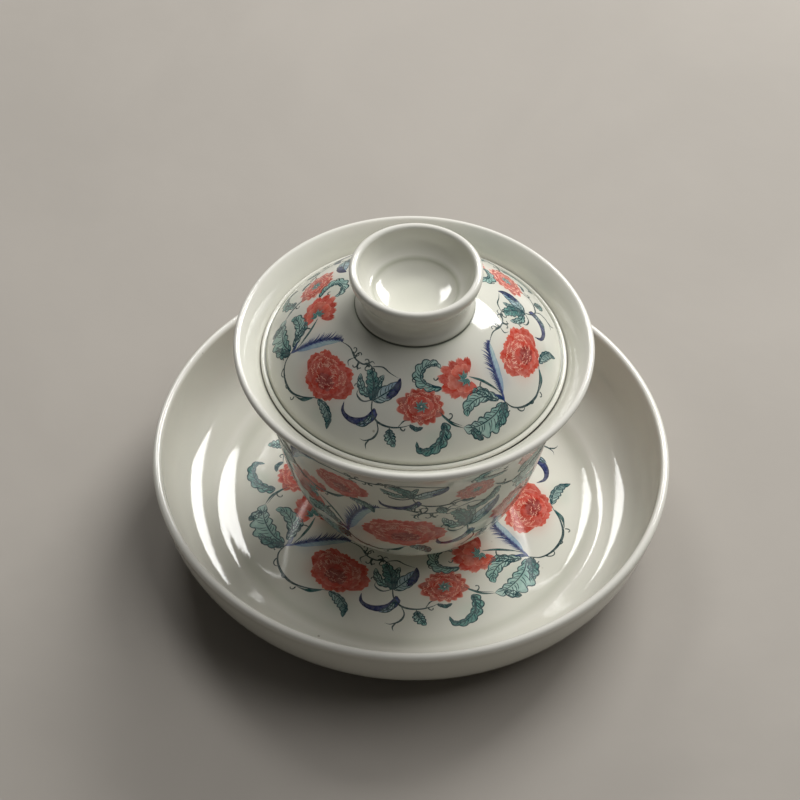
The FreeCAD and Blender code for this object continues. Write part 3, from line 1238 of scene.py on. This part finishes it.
@dataclass
class Saucer(TurnedPiece):
    """Deep saucer with a rounded rim and a flat well whose edge rises gently."""

    node: str = "saucer"
    rim_r: float = 73.0
    rim_z: float = 26.3
    rim_round: float = 1.25
    foot_r: float = 53.8
    foot_width: float = 4.0
    foot_h: float = 2.9
    recess_z: float = 1.7
    well_z: float = 5.0
    well_r: float = 47.5
    shoulder: tuple = (56.2, 7.1)

    def rise(self) -> tuple:
        """The gentle curve from the shoulder down to the flat floor."""
        return (54.0, 7.0), (52.4, self.well_z), (self.well_r, self.well_z)

    def outline(self) -> Outline:
        """Foot ring, wall, rim, inside wall, rise and floor."""
        mid = self.rim_r - self.rim_round
        moves = foot_ring(self.foot_r, self.foot_width, self.recess_z, self.foot_h, 1.2) + [
            ((65.6, 4.6), (70.9, 11.0), (72.6, 24.0)),
            ((72.8, 25.0), (self.rim_r, 25.6), (self.rim_r, self.rim_z)),
            ((mid, self.rim_z + self.rim_round), (mid - self.rim_round, self.rim_z)),
            ((69.5, 13.4), (66.4, 7.3), self.shoulder),
            self.rise(),
            ((0.0, self.well_z),),
        ]
        return Outline((0.0, self.recess_z), moves)

    def marks(self) -> dict:
        """Glaze pools round the well and the foot, and thins over the rim."""
        return {
            "pool": [(52.0, 5.4, 1.8, 0.45), (55.2, 3.2, 1.2, 0.6), (49.0, 1.7, 1.4, 0.5)],
            "thin": [(71.7, 27.5, 0.9, 0.9), (72.9, 26.5, 0.8, 0.4), (55.6, 7.0, 1.0, 0.3)],
            "bare": (0.5, 48.0, 55.0),
        }

    def bands(self) -> list:
        """The well's floor, from its rising edge inwards."""
        line = Outline(self.shoulder, [self.rise(), ((20.0, self.well_z),)]).points(3.0)
        return [Band(line, foot=5.4, scale=1.13, climb=1.13, turn=13.5)]


@dataclass
class Bowl(TurnedPiece):
    """Bowl with a round belly, a slightly tapering wall and a flared mouth."""

    node: str = "bowl"
    stands_on: float = 5.0
    rim_r: float = 48.5
    rim_z: float = 65.5
    rim_round: float = 1.1
    foot_r: float = 21.4
    foot_width: float = 3.2
    foot_h: float = 3.9
    recess_z: float = 2.4
    belly: tuple = (35.75, 25.5)
    inside_belly: tuple = (33.5, 26.0)
    inside_neck: tuple = (37.7, 45.5)
    floor_z: float = 5.8

    def wall(self) -> list:
        """The two curves of the outside, from the foot to the rim."""
        reach = self.rim_round * ROOT_HALF
        mid = self.rim_r - self.rim_round
        return [
            ((28.2, 5.6), (32.4, 14.3), self.belly),
            ((39.0, 36.6), (39.7, 58.8), (mid + reach, self.rim_z - reach)),
        ]

    def outline(self) -> Outline:
        """Foot ring, outside wall, rim, inside wall and floor."""
        reach = self.rim_round * ROOT_HALF
        mid = self.rim_r - self.rim_round
        moves = foot_ring(self.foot_r, self.foot_width, self.recess_z, self.foot_h, 0.9) + self.wall() + [
            ((mid + reach, self.rim_z + reach), (mid - reach, self.rim_z + reach)),
            ((42.4, 63.4), (38.2, 57.4), self.inside_neck),
            ((37.1, 38.5), (35.6, 32.6), self.inside_belly),
            ((30.2, 15.6), (21.0, self.floor_z), (9.0, self.floor_z)),
            ((0.0, self.floor_z),),
        ]
        return Outline((0.0, self.recess_z), moves, self.stands_on)

    def marks(self) -> dict:
        """Glaze pools at the foot and inside, and thins over the rim."""
        up = self.stands_on
        return {
            "pool": [(22.0, 4.1 + up, 1.3, 0.7), (17.4, 2.4 + up, 1.4, 0.5), (6.0, 5.8 + up, 9.0, 0.25)],
            "thin": [(47.6, 66.5 + up, 0.9, 0.9), (48.4, 65.4 + up, 0.8, 0.5)],
            "bare": (0.5 + up, 17.0, 22.5),
        }

    def bands(self) -> list:
        """The outside of the wall, from the foot up: a large garland with a small one above it."""
        line = Outline((self.foot_r + 0.9, self.foot_h + 0.15), self.wall(), self.stands_on).points(3.0)
        return [Band(line, foot=8.5, scale=1.36, climb=1.42, turn=46.0),
                Band(line, foot=36.5, scale=0.92, climb=0.86, turn=21.5, over=0.08)]


@dataclass
class Lid(TurnedPiece):
    """Shallow domed lid with a plain edge band and a knob like a small cup."""

    node: str = "lid"
    stands_on: float = 5.0
    edge_r: float = 41.3
    edge_z: float = 61.05
    edge_round: float = 0.7
    dome_r: float = 48.2
    dome_centre_z: float = 34.8
    wall: float = 2.6
    crease_r: float = 40.0
    crease_depth: float = 0.2
    knob_base_r: float = 15.9
    knob_waist_r: float = 14.5
    knob_rim_r: float = 17.5
    knob_rim_z: float = 92.35
    knob_round: float = 1.15
    ledge_r: float = 12.2
    ledge_z: float = 86.7
    knob_floor_z: float = 84.2

    def on_sphere(self, radius: float, r: float) -> float:
        """Height of the dome's sphere, or of one inside it, at distance r from the axis."""
        return self.dome_centre_z + math.sqrt(radius ** 2 - r ** 2)

    def outline(self) -> Outline:
        """Inside dome, edge, crease, dome, and the knob outside and inside."""
        inside = self.dome_r - self.wall
        under = self.edge_z - self.edge_round
        lip = math.sqrt(inside ** 2 - (under - self.dome_centre_z) ** 2)
        mid = self.edge_r - self.edge_round
        dip = self.crease_depth
        crease_z = self.on_sphere(self.dome_r, self.crease_r) - dip
        dome_mid = (self.crease_r + self.knob_base_r) / 2
        base = self.on_sphere(self.dome_r, self.knob_base_r)
        knob = self.knob_rim_r - self.knob_round
        moves = [
            ((lip / 2, self.on_sphere(inside, lip / 2)), (lip, under)),
            ((mid, under),),
            ((self.edge_r, self.edge_z), (mid, self.edge_z + self.edge_round)),
            ((self.crease_r + dip, crease_z + 0.05),),
            ((self.crease_r - 0.05, crease_z),
             (self.crease_r - dip, self.on_sphere(self.dome_r, self.crease_r - dip))),
            ((dome_mid, self.on_sphere(self.dome_r, dome_mid)), (self.knob_base_r, base)),
            ((self.knob_base_r - 0.15, base + 0.1), (self.knob_base_r, base + 0.5)),
            ((15.6, base + 1.5), (self.knob_waist_r, base + 1.7), (self.knob_waist_r, base + 3.4)),
            ((self.knob_waist_r, base + 7.6), (self.knob_rim_r, self.knob_rim_z - 3.6),
             (self.knob_rim_r, self.knob_rim_z)),
            ((knob, self.knob_rim_z + self.knob_round), (knob - self.knob_round, self.knob_rim_z)),
            ((14.9, 90.2), (13.9, 88.2), (self.ledge_r, self.ledge_z)),
            ((self.ledge_r - 0.6, self.ledge_z - 0.3), (11.2, 86.2), (11.0, 85.7)),
            ((10.0, 84.6), (7.0, self.knob_floor_z), (4.0, self.knob_floor_z)),
            ((0.0, self.knob_floor_z),),
        ]
        return Outline((0.0, self.dome_centre_z + inside), moves, self.stands_on)

    def marks(self) -> dict:
        """Glaze pools in the crease and round the knob, deep enough there to draw a line of painted shade,
        and thins over edges.
        """
        up = self.stands_on
        base = self.on_sphere(self.dome_r, self.knob_base_r) + up
        return {
            # the crease and the knob's foot pool strongly enough to draw the painted shade line
            "pool": [(39.98, self.on_sphere(self.dome_r, 40.0) - 0.2 + up, 0.26, 1.2),
                     (15.78, base + 0.1, 0.3, 1.2), (15.8, base + 0.1, 1.1, 0.5),
                     (11.2, 86.0 + up, 0.8, 0.6), (0.0, 84.2 + up, 6.0, 0.25)],
            "thin": [(16.4, 93.5 + up, 0.9, 0.9), (41.2, 61.3 + up, 0.5, 0.6), (12.4, 86.9 + up, 0.7, 0.5)],
            "bare": (60.55 + up, 38.2, 40.9),
        }

    def bands(self) -> list:
        """The dome, from the crease towards the knob."""
        high = math.asin(self.crease_r / self.dome_r)
        angle = np.linspace(high, math.asin(16.0 / self.dome_r), 90)
        line = np.stack([self.dome_r * np.sin(angle),
                         self.dome_centre_z + self.stands_on + self.dome_r * np.cos(angle)], 1)
        return [Band(line)]


# ---- Studio ----


def aim(thing: types.Object, axes: tuple, place: Array) -> None:
    """Turn and place a lamp or a camera.

    Args:
        thing: the lamp or camera.
        axes: its own right, up and back.
        place: where it stands, in metres.
    """
    world = np.eye(4)
    world[:3] = np.stack([*axes, place], 1)
    thing.matrix_world = Matrix(world.tolist())


@dataclass
class SoftLight:
    """A soft rectangular light that faces the tea set.

    Attributes:
        name: the light's name.
        azimuth: direction, degrees counter-clockwise from +X.
        height: angle above the board, in degrees.
        distance: metres from the middle of the tea set.
        size: width and height in metres.
        watts: power.
        colour: its colour.
        mirrored: whether the glaze shows its mirror image.
    """

    name: str
    azimuth: float
    height: float
    distance: float
    size: tuple
    watts: float
    colour: tuple
    mirrored: bool = True

    def place(self) -> None:
        """Put it into the scene."""
        data = bpy.data.lights.new(self.name, "AREA")
        data.shape = "RECTANGLE"
        data.size, data.size_y = self.size
        data.energy = self.watts
        data.color = self.colour
        lamp = add_object(self.name, data)
        lamp.visible_glossy = self.mirrored
        a, e = math.radians(self.azimuth), math.radians(self.height)
        back = np.array([math.cos(e) * math.cos(a), math.cos(e) * math.sin(a), math.sin(e)])
        right = np.array([-math.sin(a), math.cos(a), 0.0])
        middle = np.array([0.0, 0.0, 0.05])
        aim(lamp, (right, np.cross(back, right), back), back * self.distance + middle)


@dataclass
class Studio:
    """Pale board, two windows at the back, a broad overhead light, a weak fill and the camera.

    Attributes:
        pitch, yaw, roll: how the camera is turned, in degrees.
        camera_at: where the camera stands, in millimetres.
        lens: its focal length.
        board: side of the board, in millimetres.
        lights: the lights. The overhead one is not mirrored, so that it lays no veil over the painting.
        room: colour and strength of the room's own dim light.
    """

    pitch: float = 48.22
    yaw: float = -0.484
    roll: float = 1.231
    camera_at: tuple = (0.0, -409.1, 504.89)
    lens: float = 100.0
    board: float = 3000.0
    lights: tuple = (
        SoftLight("window", 58.0, 37.0, 1.2, (0.66, 0.40), 11.2, (1.0, 0.995, 0.98)),
        SoftLight("far_window", 112.0, 43.5, 1.2, (0.38, 0.20), 2.9, (1.0, 0.995, 0.98)),
        SoftLight("ceiling", 24.0, 63.0, 1.5, (1.5, 1.1), 12.0, (1.0, 0.995, 0.985), mirrored=False),
        SoftLight("fill", 205.0, 45.0, 1.6, (1.2, 0.9), 0.2, (0.98, 0.98, 1.0)),
    )
    room: tuple = ((0.88, 0.87, 0.86, 1.0), 0.05)

    def camera(self) -> None:
        """Place the camera: it looks down by the pitch, with its horizon turned by the roll."""
        pitch, yaw, roll = (math.radians(a) for a in (self.pitch, self.yaw, self.roll))
        ahead = np.array([math.sin(yaw) * math.cos(pitch), math.cos(yaw) * math.cos(pitch), -math.sin(pitch)])
        right = np.array([math.cos(yaw), -math.sin(yaw), 0.0])
        up = np.cross(right, ahead)
        across = right * math.cos(roll) + up * math.sin(roll)
        above = up * math.cos(roll) - right * math.sin(roll)
        data = bpy.data.cameras.new("studio_camera")
        data.lens = self.lens
        data.sensor_width = 36.0
        data.clip_start = 0.01
        data.clip_end = 20.0
        camera = add_object("studio_camera", data)
        aim(camera, (across, above, -ahead), np.array(self.camera_at) * MM)
        bpy.context.scene.camera = camera

    def floor(self, material: types.Material) -> None:
        """Lay the board, a flat square with its top at the height of the foot ring."""
        half = self.board / 2
        verts = np.array([[-half, -half, 0.0], [half, -half, 0.0], [half, half, 0.0], [-half, half, 0.0]])
        mesh = new_mesh("board", verts, np.array([[0, 1, 2, 3]]), np.zeros((0, 3), int))
        mesh.materials.append(material)
        add_object("board", mesh)

    def build(self, material: types.Material) -> None:
        """Set up the board, the lights, the room's dim light and the camera.

        Args:
            material: finish of the board.
        """
        self.floor(material)
        for light in self.lights:
            light.place()
        world = bpy.data.worlds.new("room")
        world.use_nodes = True
        for socket, value in zip(world.node_tree.nodes["Background"].inputs, self.room):
            socket.default_value = value
        bpy.context.scene.world = world
        bpy.context.scene.view_settings.view_transform = "Standard"
        self.camera()


def main() -> None:
    """Build the finishes, the painting, the three pieces and the studio."""
    logging.basicConfig(level=logging.INFO, format="%(name)s %(message)s")
    kiln = kiln_group()
    glaze = PorcelainFinish().make(kiln)
    enamels = {enamel: EnamelFinish(enamel.value).make(kiln) for enamel in Enamel}
    garland = Garland()
    garland.draw()
    LOG.info("garland: %d spots", sum(tray.count for tray in garland.trays.values()))
    for piece in (Saucer(), Bowl(), Lid()):
        piece.build(garland, glaze, enamels)
    Studio().build(FloorFinish().make(kiln))


if __name__ == "__main__":
    main()
